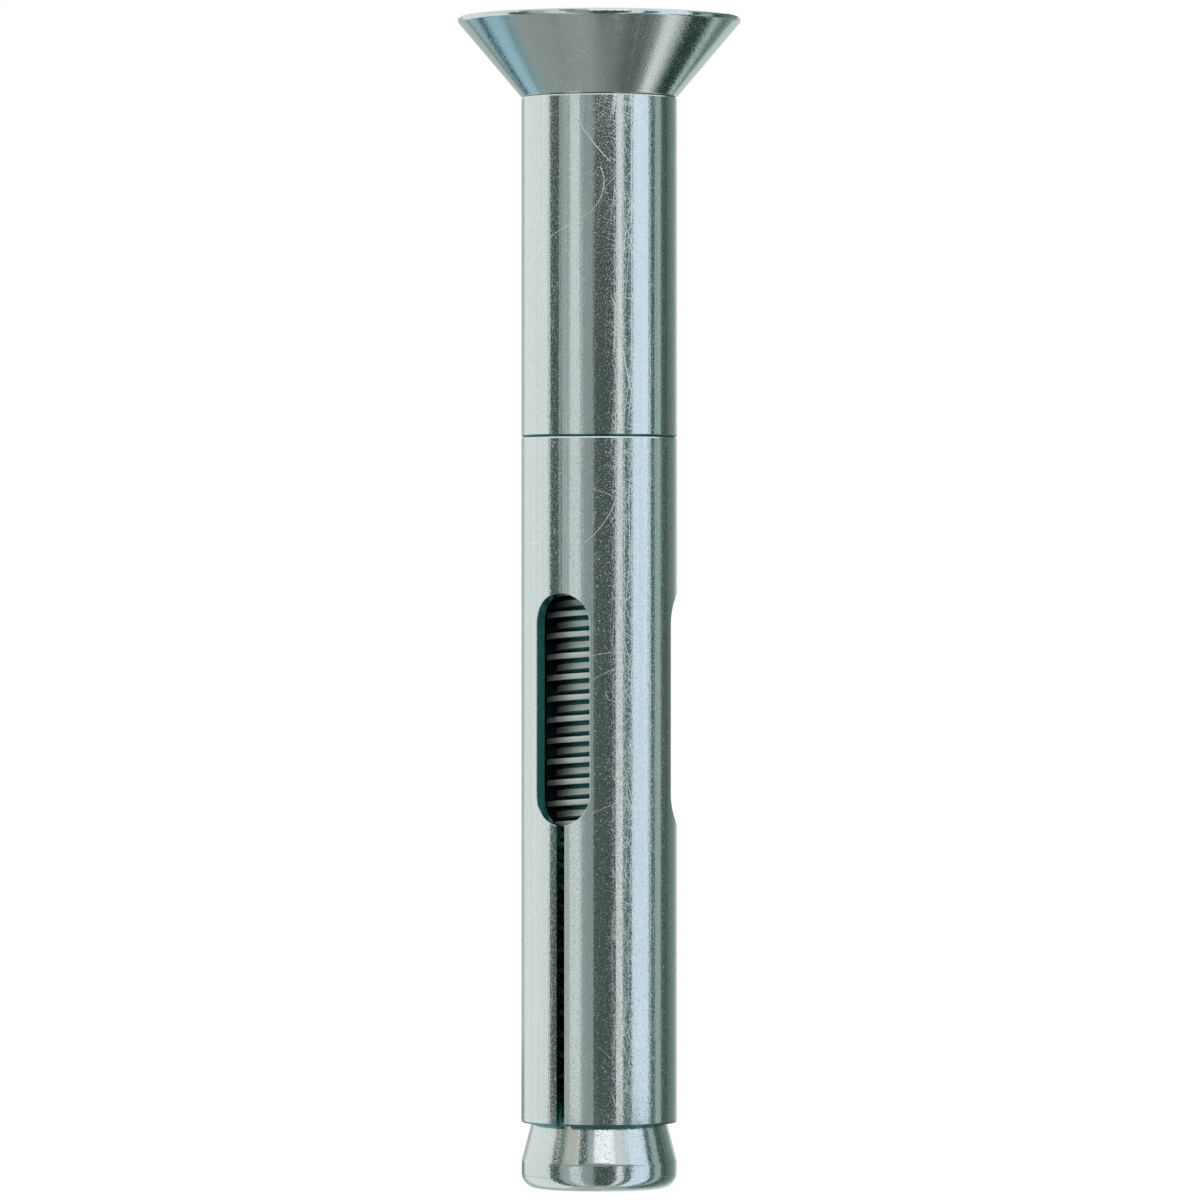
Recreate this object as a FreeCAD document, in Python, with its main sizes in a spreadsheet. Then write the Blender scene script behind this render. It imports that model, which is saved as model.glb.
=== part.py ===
import FreeCAD, Part
import math
import os
import Sketcher

# Flat-head sleeve anchor for a 3/8 inch hole, in millimetres.
# It stands on the end face of its cone nut, with the head up and its axis on Z.
# A machine screw runs from the head down through two rolled sleeves into the cone nut.
# Turning the screw draws the cone up into the slotted sleeve, whose three fingers then spread.

# Driving dimensions: name, value, what it measures
SIZES = [
    ("sleeve_diameter", 9.45, "outside of both sleeves, just under the 3/8 inch hole"),
    ("sleeve_wall", 0.6, "sheet that the sleeves are rolled from"),
    ("spacer_length", 20.65, "plain upper sleeve"),
    ("expansion_length", 41.6, "slotted lower sleeve"),
    ("edge_break", 0.08, "bevel on the ends of the sleeves"),
    ("seam_gap", 0.15, "butt seam of the rolled sheet"),
    ("finger_count", 3, "fingers of the expansion sleeve, parted by its slots and its seam"),
    ("slot_width", 3.8, "slot, measured in the flat sheet"),
    ("slot_length", 14.0, "slot, end to end"),
    ("slot_above_mouth", 18.1, "lower end of the sleeve to the lower end of the slot"),
    ("slit_width", 0.5, "slit from each slot down to the mouth of the sleeve"),
    ("nut_diameter", 9.42, "widest part of the cone nut"),
    ("nut_corner", 0.9, "rounding of the nut's lower corner"),
    ("nut_land", 0.7, "straight band between that corner and the cone"),
    ("cone_angle", 29.0, "full angle of the nut's cone"),
    ("nut_rim_wall", 0.5, "wall round the thread at the top of the cone"),
    ("nut_bore_bevel", 0.3, "lead-in at both ends of the nut's thread"),
    ("seat_clearance", 0.02, "cone to the inner edge of the sleeve's mouth"),
    ("thread_clearance", 0.05, "screw thread to nut thread, each side"),
    ("thread_diameter", 6.35, "outside of the 1/4 inch thread"),
    ("thread_length", 38.1, "threaded stretch, measured from the tip"),
    ("shank_diameter", 5.5, "plain shank above the rolled thread"),
    ("tip_recess", 0.6, "screw tip above the nut's end face"),
    ("tip_bevel", 0.6, "bevel on the screw tip"),
    ("neck_radius", 0.4, "fillet between shank and head"),
    ("head_diameter", 17.15, "countersunk head"),
    ("head_angle", 80.5, "full angle of the countersink"),
    ("rim_height", 0.3, "straight rim at the top of the head"),
    ("rim_radius", 0.12, "rounding of the rim's edges"),
    ("recess_diameter", 7.6, "cross recess across its wings, at the top"),
    ("recess_foot_diameter", 3.9, "cross recess across its wings, at their foot"),
    ("recess_depth", 3.6, "top of the head to the foot of the wings"),
    ("wing_width", 2.3, "one wing at the top"),
    ("wing_foot_width", 1.6, "one wing at its foot"),
    ("core_diameter", 4.0, "round core that joins the wings, at the top"),
    ("core_foot_diameter", 2.6, "round core at the foot of the wings"),
    ("recess_point_depth", 0.6, "pointed bottom of the core, below the wings"),
]

# Sizes that follow from the driving ones
DERIVED = [
    ("sleeve_bore", "sleeve_diameter - 2 * sleeve_wall"),
    ("nut_shoulder", "nut_corner + nut_land"),
    ("nut_bore", "thread_diameter + 2 * thread_clearance"),
    ("cone_top_diameter", "nut_bore + 2 * nut_rim_wall"),
    ("cone_height", "(nut_diameter - cone_top_diameter) / 2 / tan(cone_angle / 2)"),
    ("nut_height", "nut_shoulder + cone_height"),
    ("seat_diameter", "sleeve_bore - 2 * seat_clearance"),
    ("mouth_height", "nut_shoulder + (nut_diameter - seat_diameter) / 2 / tan(cone_angle / 2)"),
    ("joint_height", "mouth_height + expansion_length"),
    ("shoulder_height", "joint_height + spacer_length"),
    ("cone_depth", "(head_diameter - sleeve_diameter) / 2 / tan(head_angle / 2)"),
    ("rim_base", "shoulder_height + cone_depth"),
    ("head_top", "rim_base + rim_height"),
    ("thread_top", "tip_recess + thread_length"),
    ("runout_top", "thread_top + (thread_diameter - shank_diameter) / 2"),
    ("slot_half_angle", "slot_width / sleeve_diameter * 180 / pi"),
    ("slot_bottom", "mouth_height + slot_above_mouth"),
    ("slot_lower_centre", "slot_bottom + slot_width / 2"),
    ("slot_upper_centre", "slot_bottom + slot_length - slot_width / 2"),
    ("slot_top", "slot_bottom + slot_length"),
    ("slot_inner_plane", "sleeve_bore * 0.4"),
    ("slot_outer_plane", "sleeve_diameter * 0.55"),
    ("slot_count", "finger_count - 1"),
    ("seam_angle", "360 / finger_count"),
    ("slot_spread", "seam_angle * (slot_count - 1)"),
]

doc = FreeCAD.newDocument("SleeveAnchor")


def make_sheet():
    sheet = doc.addObject("Spreadsheet::Sheet", "sizes")
    for row, (name, value, meaning) in enumerate(SIZES, start=1):
        sheet.set(f"A{row}", name)
        sheet.set(f"B{row}", str(value))
        sheet.set(f"C{row}", meaning)
        sheet.setAlias(f"B{row}", name)
    for row, (name, formula) in enumerate(DERIVED, start=len(SIZES) + 1):
        sheet.set(f"A{row}", name)
        sheet.set(f"B{row}", "=" + formula)
        sheet.setAlias(f"B{row}", name)
    doc.recompute()
    return sheet


sheet = make_sheet()


# The value of one cell of the sheet
def size(name):
    return float(sheet.get(name))


def origin_feature(body, role):
    return next(item for item in body.Origin.OriginFeatures if item.Role == role)


# A sketch in one of the body's own planes, lifted off it or turned about its own upright where asked
def new_sketch(body, name, plane, lift=None, turn=None):
    sketch = body.newObject("Sketcher::SketchObject", name)
    sketch.AttachmentSupport = [(origin_feature(body, plane), "")]
    sketch.MapMode = "FlatFace"
    if turn:
        upright = FreeCAD.Rotation(FreeCAD.Vector(0, 1, 0), 1)
        sketch.AttachmentOffset = FreeCAD.Placement(FreeCAD.Vector(), upright)
        sketch.setExpression("AttachmentOffset.Rotation.Angle", turn)
    if lift:
        sketch.setExpression("AttachmentOffset.Base.z", lift)
    return sketch


# Ties one point of a sketch to the sketch's origin, by a formula for each direction
def tie_point(sketch, geometry, point, across, up):
    place = sketch.getPoint(geometry, point)
    for kind, axis, formula, start in (("DistanceX", -2, across, place.x), ("DistanceY", -1, up, place.y)):
        if formula == "0":
            sketch.addConstraint(Sketcher.Constraint("PointOnObject", geometry, point, axis))
        elif formula:
            tie = sketch.addConstraint(Sketcher.Constraint(kind, -1, 1, geometry, point, start))
            sketch.setExpression(f"Constraints[{tie}]", formula)


# A closed outline of straight lines, each corner given by two formulas
def add_outline(sketch, corners):
    count = len(corners)
    turn = 2 * math.pi / count
    start = [FreeCAD.Vector(10 * math.cos(turn * i), 10 * math.sin(turn * i), 0) for i in range(count)]
    for i in range(count):
        sketch.addGeometry(Part.LineSegment(start[i], start[(i + 1) % count]))
    for i in range(count):
        sketch.addConstraint(Sketcher.Constraint("Coincident", i, 2, (i + 1) % count, 1))
    for i, (across, up) in enumerate(corners):
        tie_point(sketch, i, 1, across, up)


# A rectangle about the sketch's vertical axis
def add_bar(sketch, width, bottom, top):
    half = f"{width} / 2"
    add_outline(sketch, [(f"-{half}", bottom), (half, bottom), (half, top), (f"-{half}", top)])


def add_circles(sketch, *diameters):
    for diameter in diameters:
        ring = sketch.addGeometry(Part.Circle(FreeCAD.Vector(), FreeCAD.Vector(0, 0, 1), size(diameter) / 2))
        sketch.addConstraint(Sketcher.Constraint("Coincident", ring, 3, -1, 1))
        tie = sketch.addConstraint(Sketcher.Constraint("Diameter", ring, size(diameter)))
        sketch.setExpression(f"Constraints[{tie}]", f"sizes.{diameter}")


def revolve(body, name, sketch):
    turned = body.newObject("PartDesign::Revolution", name)
    turned.Profile = sketch
    turned.ReferenceAxis = (sketch, ["V_Axis"])
    turned.Angle = 360
    doc.recompute()
    return turned


# Names of the circular edges of a shape that lie round Z at a diameter and a height
def ring_edges(feature, *rings):
    names = []
    for diameter, height in rings:
        for number, edge in enumerate(feature.Shape.Edges, start=1):
            if not isinstance(edge.Curve, Part.Circle):
                continue
            same_size = abs(edge.Curve.Radius - diameter / 2) < 1e-4
            same_height = abs(edge.Curve.Center.z - height) < 1e-4
            if same_size and same_height:
                names.append(f"Edge{number}")
    return names


def dress_edges(body, kind, name, feature, rings, amount):
    dressed = body.newObject(f"PartDesign::{kind}", name)
    dressed.Base = (feature, ring_edges(feature, *rings))
    dressed.setExpression("Radius" if kind == "Fillet" else "Size", f"sizes.{amount}")
    doc.recompute()
    return dressed


# Cuts from the axis outwards through one side of a sleeve
def cut_outwards(body, name, sketch):
    before = body.Shape.Volume
    cut = body.newObject("PartDesign::Pocket", name)
    cut.Profile = sketch
    cut.Reversed = True
    cut.setExpression("Length", "sizes.sleeve_diameter")
    doc.recompute()
    if body.Shape.Volume >= before:
        raise ValueError(f"{name} cuts nothing")
    return cut


# Repeats features clockwise round the axis, all the way or over part of a turn
def repeat_round(body, name, features, count, spread="360"):
    pattern = body.newObject("PartDesign::PolarPattern", name)
    pattern.Originals = features
    pattern.Axis = (origin_feature(body, "Z_Axis"), [""])
    pattern.Reversed = True
    pattern.setExpression("Angle", spread)
    pattern.setExpression("Occurrences", count)
    body.Tip = pattern
    doc.recompute()
    return pattern


# A length of rolled tube with its end edges broken
def make_tube(label, foot, length):
    body = doc.addObject("PartDesign::Body", label)
    body.Label = label
    section = new_sketch(body, "section", "XY_Plane", lift=f"sizes.{foot}")
    add_circles(section, "sleeve_diameter", "sleeve_bore")
    tube = body.newObject("PartDesign::Pad", "tube")
    tube.Profile = section
    tube.setExpression("Length", f"sizes.{length}")
    doc.recompute()
    ends = (size(foot), size(foot) + size(length))
    rings = [(size(diameter), height) for diameter in ("sleeve_diameter", "sleeve_bore") for height in ends]
    dress_edges(body, "Chamfer", "end_bevels", tube, rings, "edge_break")
    return body


# The sheet's two edges meet in a straight seam at the back
def cut_seam(body, bottom, top):
    seam = new_sketch(body, "seam_line", "YZ_Plane", turn="sizes.seam_angle")
    add_bar(seam, "sizes.seam_gap", bottom, top)
    cut_outwards(body, "seam", seam)


# A slot's outline where it crosses a plane square to its middle.
# The slot is a stadium in the flat sheet, so after rolling its walls point at the axis:
# the outline grows wider with its distance from the axis and keeps its height.
def draw_slot(body, name, distance, flat):
    sketch = new_sketch(body, name, "YZ_Plane", lift=f"sizes.{distance}")
    half = size(distance) * math.tan(math.radians(size("slot_half_angle")))
    rise = size("slot_width") / 2
    low = size("slot_lower_centre")
    high = size("slot_upper_centre")
    sketch.addGeometry(Part.LineSegment(FreeCAD.Vector(half, low, 0), FreeCAD.Vector(half, high, 0)))
    sketch.addGeometry(Part.LineSegment(FreeCAD.Vector(-half, high, 0), FreeCAD.Vector(-half, low, 0)))
    for centre, start in ((high, 0), (low, math.pi)):
        middle = FreeCAD.Vector(0, centre, 0)
        side = FreeCAD.Vector(half, centre, 0)
        tip = FreeCAD.Vector(0, centre + rise, 0)
        if flat:
            ellipse = Part.Ellipse(side, tip, middle)
        else:
            ellipse = Part.Ellipse(tip, side, middle)
            start -= math.pi / 2
        sketch.addGeometry(Part.ArcOfEllipse(ellipse, start, start + math.pi))
    upper, lower = 2, 3
    tall_axis = {}
    for arc in (upper, lower):
        long_axis = len(sketch.Geometry)
        sketch.exposeInternalGeometry(arc)
        tall_axis[arc] = long_axis + 1 if flat else long_axis
    for line, point, arc, end in ((0, 2, upper, 1), (1, 1, upper, 2), (1, 2, lower, 1), (0, 1, lower, 2)):
        sketch.addConstraint(Sketcher.Constraint("Coincident", line, point, arc, end))
    width = f"sizes.{distance} * tan(sizes.slot_half_angle)"
    for arc, centre, near, far in (
        (upper, "sizes.slot_upper_centre", 1, 2),
        (lower, "sizes.slot_lower_centre", 2, 1),
    ):
        tie_point(sketch, arc, 3, "0", centre)
        tie_point(sketch, arc, near, width, centre)
        tie_point(sketch, arc, far, None, centre)
        tie_point(sketch, tall_axis[arc], 1, "0", f"{centre} + sizes.slot_width / 2")
    return sketch


def make_expansion_sleeve():
    body = make_tube("expansion_sleeve", "mouth_height", "expansion_length")
    before = body.Shape.Volume
    slot = body.newObject("PartDesign::SubtractiveLoft", "slot")
    slot.Profile = draw_slot(body, "slot_inside", "slot_inner_plane", flat=False)
    slot.Sections = [draw_slot(body, "slot_outside", "slot_outer_plane", flat=True)]
    slot.Ruled = True
    doc.recompute()
    if body.Shape.Volume >= before:
        raise ValueError("slot cuts nothing")
    slit_line = new_sketch(body, "slit_line", "YZ_Plane")
    add_bar(slit_line, "sizes.slit_width", "sizes.mouth_height - sizes.slit_width", "sizes.slot_lower_centre")
    slit = cut_outwards(body, "slit", slit_line)
    repeat_round(body, "slots_round", [slot, slit], "sizes.slot_count", "sizes.slot_spread")
    cut_seam(body, "sizes.mouth_height - sizes.seam_gap", "sizes.joint_height + sizes.seam_gap")
    return body


def make_spacer_sleeve():
    body = make_tube("spacer_sleeve", "joint_height", "spacer_length")
    cut_seam(body, "sizes.joint_height - sizes.seam_gap", "sizes.shoulder_height + sizes.seam_gap")
    return body


def make_cone_nut():
    body = doc.addObject("PartDesign::Body", "cone_nut")
    body.Label = "cone_nut"
    profile = new_sketch(body, "profile", "XZ_Plane")
    add_outline(profile, [
        ("sizes.nut_bore / 2", "0"),
        ("sizes.nut_diameter / 2", "0"),
        ("sizes.nut_diameter / 2", "sizes.nut_shoulder"),
        ("sizes.cone_top_diameter / 2", "sizes.nut_height"),
        ("sizes.nut_bore / 2", "sizes.nut_height"),
    ])
    nut = revolve(body, "nut", profile)
    rounded = dress_edges(body, "Fillet", "lower_corner", nut, [(size("nut_diameter"), 0)], "nut_corner")
    mouths = [(size("nut_bore"), 0), (size("nut_bore"), size("nut_height"))]
    dress_edges(body, "Chamfer", "thread_lead_in", rounded, mouths, "nut_bore_bevel")
    return body


# A cross section of one wing of the drive recess, from the axis outwards
def draw_wing(body, name, height, length, width):
    sketch = new_sketch(body, name, "XY_Plane", lift=height)
    half = f"{width} / 2"
    end = f"{length} / 2"
    add_outline(sketch, [("0", f"-{half}"), (end, f"-{half}"), (end, half), ("0", half)])
    return sketch


# A cross recess: four tapered wings round a tapered core with a pointed bottom
def cut_recess(body):
    top = "sizes.head_top"
    foot = "sizes.head_top - sizes.recess_depth"
    wing = body.newObject("PartDesign::SubtractiveLoft", "wing")
    wide = draw_wing(body, "wing_top", top, "sizes.recess_diameter", "sizes.wing_width")
    narrow = draw_wing(body, "wing_foot", foot, "sizes.recess_foot_diameter", "sizes.wing_foot_width")
    wing.Profile = wide
    wing.Sections = [narrow]
    wing.Ruled = True
    doc.recompute()
    repeat_round(body, "wings_round", [wing], "4")
    core_line = new_sketch(body, "core_line", "XZ_Plane")
    add_outline(core_line, [
        ("0", top),
        ("0", f"{foot} - sizes.recess_point_depth"),
        ("sizes.core_foot_diameter / 2", foot),
        ("sizes.core_diameter / 2", top),
    ])
    before = body.Shape.Volume
    core = body.newObject("PartDesign::Groove", "core")
    core.Profile = core_line
    core.ReferenceAxis = (core_line, ["V_Axis"])
    core.Angle = 360
    doc.recompute()
    if body.Shape.Volume >= before:
        raise ValueError("core cuts nothing")


def make_screw():
    body = doc.addObject("PartDesign::Body", "screw")
    body.Label = "screw"
    profile = new_sketch(body, "profile", "XZ_Plane")
    add_outline(profile, [
        ("0", "sizes.tip_recess"),
        ("sizes.thread_diameter / 2", "sizes.tip_recess"),
        ("sizes.thread_diameter / 2", "sizes.thread_top"),
        ("sizes.shank_diameter / 2", "sizes.runout_top"),
        ("sizes.shank_diameter / 2", "sizes.shoulder_height"),
        ("sizes.sleeve_diameter / 2", "sizes.shoulder_height"),
        ("sizes.head_diameter / 2", "sizes.rim_base"),
        ("sizes.head_diameter / 2", "sizes.head_top"),
        ("0", "sizes.head_top"),
    ])
    blank = revolve(body, "blank", profile)
    tip = [(size("thread_diameter"), size("tip_recess"))]
    bevelled = dress_edges(body, "Chamfer", "tip_bevel", blank, tip, "tip_bevel")
    neck = [(size("shank_diameter"), size("shoulder_height"))]
    necked = dress_edges(body, "Fillet", "neck", bevelled, neck, "neck_radius")
    rim = [(size("head_diameter"), size("rim_base")), (size("head_diameter"), size("head_top"))]
    dress_edges(body, "Fillet", "rim_edges", necked, rim, "rim_radius")
    cut_recess(body)
    return body


# Every object has to be sound, and every piece one solid, before anything is written
def check_document(pieces):
    for item in doc.Objects:
        if "Invalid" in item.State or "Error" in item.State:
            raise ValueError(f"{item.Name} failed: {item.State}")
    for piece in pieces:
        if piece.Shape.isNull() or not piece.Shape.isValid() or len(piece.Shape.Solids) != 1:
            raise ValueError(f"{piece.Label} is not one sound solid")


def main():
    pieces = [make_screw(), make_spacer_sleeve(), make_expansion_sleeve(), make_cone_nut()]
    doc.recompute()
    check_document(pieces)
    os.makedirs("parts", exist_ok=True)
    for piece in pieces:
        piece.Shape.exportStep(f"parts/{piece.Label}.step")
        box = piece.Shape.optimalBoundingBox()
        print(f"{piece.Label}: {piece.Shape.Volume:.1f} mm3, {box.XLength:.2f} mm wide")
        print(f"    z {box.ZMin:.2f} to {box.ZMax:.2f} mm")


main()
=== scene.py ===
import math

import bmesh
import bpy
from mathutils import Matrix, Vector


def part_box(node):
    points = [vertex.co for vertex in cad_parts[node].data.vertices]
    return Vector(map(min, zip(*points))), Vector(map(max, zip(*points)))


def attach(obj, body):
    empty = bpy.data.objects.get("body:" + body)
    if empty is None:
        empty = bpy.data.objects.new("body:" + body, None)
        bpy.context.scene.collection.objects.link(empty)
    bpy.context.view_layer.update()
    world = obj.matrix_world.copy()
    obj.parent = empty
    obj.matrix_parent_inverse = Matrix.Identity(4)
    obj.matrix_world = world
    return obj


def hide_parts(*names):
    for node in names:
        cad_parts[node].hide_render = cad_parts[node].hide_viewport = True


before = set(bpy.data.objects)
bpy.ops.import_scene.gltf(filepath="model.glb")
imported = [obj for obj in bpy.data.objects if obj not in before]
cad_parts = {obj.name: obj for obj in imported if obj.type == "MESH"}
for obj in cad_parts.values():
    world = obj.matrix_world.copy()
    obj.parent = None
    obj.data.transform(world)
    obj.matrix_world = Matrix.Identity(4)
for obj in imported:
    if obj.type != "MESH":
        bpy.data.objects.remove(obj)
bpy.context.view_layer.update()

mm = 0.001
sameSpot = 1e-7  # points closer than this are one
nearSpot = 1e-6  # points closer than this are meant to meet
joinReach = 5e-7  # doubles this close are joined after a spin or a winding
viewerAngle = -90.0  # degrees round from +X, where the viewer stands
nearlyLevel = 0.9  # a level face's normal has at least this share of its length upright

# heights and radii that the pieces share, read from the frame
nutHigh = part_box("cone_nut")[1]
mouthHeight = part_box("expansion_sleeve")[0].z
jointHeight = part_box("spacer_sleeve")[0].z
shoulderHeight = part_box("spacer_sleeve")[1].z
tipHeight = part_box("screw")[0].z
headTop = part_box("screw")[1].z
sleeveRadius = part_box("spacer_sleeve")[1].x
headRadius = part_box("screw")[1].x
nutRadius = nutHigh.x


# Selecting and editing

def clearSelection():
    if bpy.context.mode != "OBJECT":
        bpy.ops.object.mode_set(mode="OBJECT")
    bpy.ops.object.select_all(action="DESELECT")


def workOn(piece):
    clearSelection()
    piece.select_set(True)
    bpy.context.view_layer.objects.active = piece


def editPiece(piece):
    workOn(piece)
    bpy.ops.object.mode_set(mode="EDIT")
    bpy.ops.mesh.select_mode(type="VERT")
    bpy.ops.mesh.select_all(action="SELECT")


def nameAndPlace(name):
    piece = bpy.context.object
    piece.name = name
    piece.data.name = name
    bpy.ops.object.transform_apply(location=True, rotation=True, scale=True)
    return piece


# picks the points, edges or faces of the piece in edit mode that pass a test
def pick(piece, kind, test):
    bpy.ops.mesh.select_mode(type=kind)
    bpy.ops.mesh.select_all(action="DESELECT")
    shape = bmesh.from_edit_mesh(piece.data)
    parts = {"VERT": shape.verts, "EDGE": shape.edges, "FACE": shape.faces}[kind]
    for part in parts:
        if test(part):
            part.select_set(True)
    bmesh.update_edit_mesh(piece.data)


def applyAll(piece):
    workOn(piece)
    for modifier in list(piece.modifiers):
        bpy.ops.object.modifier_apply(modifier=modifier.name)


def smoothByAngle(piece, degrees):
    workOn(piece)
    bpy.ops.object.shade_smooth_by_angle(angle=math.radians(degrees))


# Turned shapes: a half profile of (radius, height) drawn point by point and spun about the axis

def drawProfile(name, outline):
    clearSelection()
    points = [Vector((radius, 0, height)) for radius, height in outline]
    bpy.ops.mesh.primitive_plane_add(size=mm, location=points[0])
    piece = nameAndPlace(name)
    editPiece(piece)
    bpy.ops.mesh.merge(type="CENTER")
    for here, there in zip(points, points[1:]):
        bpy.ops.mesh.extrude_vertices_move(TRANSFORM_OT_translate={"value": there - here})
    bpy.ops.mesh.select_all(action="SELECT")
    bpy.ops.mesh.remove_doubles(threshold=sameSpot)
    return piece


# two points near the ends of a straight stretch, so that the rounding there doesn't bend its shading
def guardsOf(start, end, gap):
    first = Vector(start)
    last = Vector(end)
    step = (last - first).normalized() * gap
    return [tuple(first + step), tuple(last - step)]


def roundCorner(piece, radius, height, size, segments):
    corner = Vector((radius, 0, height))
    pick(piece, "VERT", lambda point: (point.co - corner).length < nearSpot)
    bpy.ops.mesh.bevel(offset=size, offset_type="OFFSET", segments=segments, affect="VERTICES")


def spinRound(piece, steps):
    bpy.ops.mesh.select_mode(type="VERT")
    bpy.ops.mesh.select_all(action="SELECT")
    bpy.ops.mesh.spin(steps=steps, angle=2 * math.pi, center=(0, 0, 0), axis=(0, 0, 1))
    bpy.ops.mesh.select_all(action="SELECT")
    bpy.ops.mesh.remove_doubles(threshold=joinReach)
    bpy.ops.mesh.normals_make_consistent(inside=False)
    bpy.ops.object.mode_set(mode="OBJECT")


def combine(piece, tool, how):
    workOn(piece)
    change = piece.modifiers.new(tool.name, "BOOLEAN")
    change.operation = how
    change.solver = "MANIFOLD"
    change.object = tool
    bpy.ops.object.modifier_apply(modifier=change.name)
    bpy.data.objects.remove(tool, do_unlink=True)


# The rolled 1/4-20 thread, drawn as one pitch and wound up the axis

thread = {
    "pitch": 1.27 * mm,
    "crestRadius": 3.175 * mm,
    "rootRadius": 2.575 * mm,
    "crestFlat": 0.34 * mm,
    "rootFlat": 0.38 * mm,
    "edgeRound": 0.03 * mm,
    "edgeSteps": 2,
    "crestAtX": 0.99 * mm,  # a crest's height where it crosses the +X side
    "steps": 72,
    "spareTurns": 1,
}


def windThread(name, low, high, growth=0.0):
    pitch = thread["pitch"]
    crest = thread["crestRadius"] + growth
    root = thread["rootRadius"] + growth
    rootHalf = thread["rootFlat"] / 2 - growth / 2
    flank = (pitch - thread["rootFlat"] - thread["crestFlat"]) / 2
    start = thread["crestAtX"] - pitch / 2
    start -= pitch * (math.ceil((start - low) / pitch) + thread["spareTurns"])
    turns = math.ceil((high - start) / pitch) + thread["spareTurns"]
    corners = [
        (root, start + rootHalf),
        (crest, start + rootHalf + flank),
        (crest, start + pitch - rootHalf - flank),
        (root, start + pitch - rootHalf),
    ]
    piece = drawProfile(name, [(root, start)] + corners + [(root, start + pitch)])
    for radius, height in corners:
        roundCorner(piece, radius, height, thread["edgeRound"], thread["edgeSteps"])
    bpy.ops.object.mode_set(mode="OBJECT")
    winding = piece.modifiers.new("winding", "SCREW")
    winding.axis = "Z"
    winding.angle = 2 * math.pi
    winding.screw_offset = pitch
    winding.iterations = turns
    winding.steps = thread["steps"]
    winding.render_steps = thread["steps"]
    winding.use_merge_vertices = True
    winding.merge_threshold = sameSpot
    applyAll(piece)
    editPiece(piece)
    bpy.ops.mesh.remove_doubles(threshold=joinReach)
    for height, end in ((low, "clear_inner"), (high, "clear_outer")):
        bpy.ops.mesh.select_all(action="SELECT")
        bpy.ops.mesh.bisect(
            plane_co=(0, 0, height), plane_no=(0, 0, 1), threshold=sameSpot, **{end: True})
        bpy.ops.mesh.edge_face_add()
    bpy.ops.mesh.select_all(action="SELECT")
    bpy.ops.mesh.normals_make_consistent(inside=False)
    bpy.ops.object.mode_set(mode="OBJECT")
    return piece


# The screw: countersunk head with a rolled rim, neck, shank and thread

screwSizes = {
    "shankRadius": 2.75 * mm,
    "neckRound": 0.4 * mm,
    "rimHeight": 0.3 * mm,
    "rimRound": 0.12 * mm,
    "rimFootRound": 0.05 * mm,
    "shoulderRound": 0.06 * mm,
    "guardGap": 0.1 * mm,
    "tipBevel": 0.6 * mm,
    "threadTop": 38.7 * mm,
    "buried": thread["pitch"] / 3,  # the shank begins this far below the thread's top, inside it
    "steps": 256,
    "smoothAngle": 32,
}

recessSizes = {
    "across": 7.6 * mm,
    "footAcross": 3.9 * mm,
    "depth": 3.6 * mm,
    "wingWidth": 2.3 * mm,
    "wingFootWidth": 1.6 * mm,
    "coreAcross": 4.0 * mm,
    "coreFootAcross": 2.6 * mm,
    "pointDepth": 0.6 * mm,
    "mouthRound": 0.14 * mm,
    "proud": 0.3 * mm,  # the cutters stand this far out of the head
    "coreSteps": 64,
}


def facesUp(face):
    return face.normal.z > nearlyLevel


def facesDown(face):
    return face.normal.z < -nearlyLevel


# a cutter's flared mouth, so that the recess has softened edges
def flareTop(piece, height, across, width):
    proud = recessSizes["proud"]
    flare = recessSizes["mouthRound"]
    editPiece(piece)
    pick(piece, "FACE", lambda face: facesUp(face) and face.calc_center_median().z > height - sameSpot)
    bpy.ops.mesh.extrude_region_move(TRANSFORM_OT_translate={"value": (0, 0, flare)})
    wider = (1 + 2 * flare / across, 1 + 2 * flare / width, 1)
    bpy.ops.transform.resize(value=wider, center_override=(0, 0, headTop))
    bpy.ops.mesh.extrude_region_move(TRANSFORM_OT_translate={"value": (0, 0, proud)})
    bpy.ops.object.mode_set(mode="OBJECT")


def makeWingCutter(turned):
    sizes = recessSizes
    depth = sizes["depth"] - sizes["mouthRound"]
    across, width = sizes["across"], sizes["wingWidth"]
    middle = headTop - sizes["mouthRound"] - depth / 2
    clearSelection()
    bpy.ops.mesh.primitive_cube_add(size=1, location=(0, 0, middle), scale=(across, width, depth))
    piece = nameAndPlace("wingCutter")
    editPiece(piece)
    pick(piece, "FACE", facesDown)
    smaller = (sizes["footAcross"] / across, sizes["wingFootWidth"] / width, 1)
    bpy.ops.transform.resize(value=smaller, center_override=(0, 0, middle))
    flareTop(piece, middle + depth / 2, across, width)
    piece.rotation_euler.z = turned
    workOn(piece)
    bpy.ops.object.transform_apply(rotation=True)
    return piece


def makeCoreCutter():
    sizes = recessSizes
    depth = sizes["depth"] - sizes["mouthRound"]
    middle = headTop - sizes["mouthRound"] - depth / 2
    clearSelection()
    bpy.ops.mesh.primitive_cone_add(
        vertices=sizes["coreSteps"], radius1=sizes["coreFootAcross"] / 2,
        radius2=sizes["coreAcross"] / 2, depth=depth, location=(0, 0, middle))
    piece = nameAndPlace("coreCutter")
    flareTop(piece, middle + depth / 2, sizes["coreAcross"], sizes["coreAcross"])
    editPiece(piece)
    pick(piece, "FACE", facesDown)
    bpy.ops.mesh.extrude_region_move(TRANSFORM_OT_translate={"value": (0, 0, -sizes["pointDepth"])})
    bpy.ops.mesh.merge(type="CENTER")
    bpy.ops.object.mode_set(mode="OBJECT")
    return piece


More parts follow.
